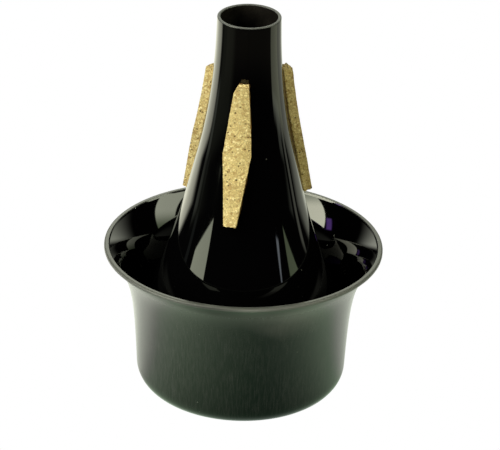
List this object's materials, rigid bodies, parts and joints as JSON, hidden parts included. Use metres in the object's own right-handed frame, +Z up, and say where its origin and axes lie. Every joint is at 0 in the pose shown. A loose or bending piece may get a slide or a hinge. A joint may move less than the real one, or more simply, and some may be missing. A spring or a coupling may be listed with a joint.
{
  "type": "trumpet cup mute",
  "caption": "Hollow cone with an open mouth, held in a trumpet's bell by cork strips, its flared skirt cemented inside a bell-shaped cup that stands on a foot ring.",
  "frame": {"origin": "middle of the flat foot ring under the cup, on the surface that the mute stands on", "axes": "+Z up along the cone's axis, towards the open mouth; -Y towards the cork strip that faces the viewer"},
  "size_m": [0.12, 0.12, 0.1725],
  "materials": {
    "cone_plastic": "high gloss, deep black",
    "cup_plastic": "gloss black, faintly drawn down outside",
    "cork": "raw agglomerated cork, matt",
    "contact_cement": "dried amber film",
    "solvent_cement": "dried black cement"
  },
  "bodies": {
    "root": {"cup_shell": "cup_plastic", "foot_cement": "solvent_cement", "cone_shell": "cone_plastic", "cork_cement_front": "contact_cement", "cork_strip_front": "cork", "cork_cement_right": "contact_cement", "cork_strip_right": "cork", "cork_cement_left": "contact_cement", "cork_strip_left": "cork"}
  },
  "joints": []
}
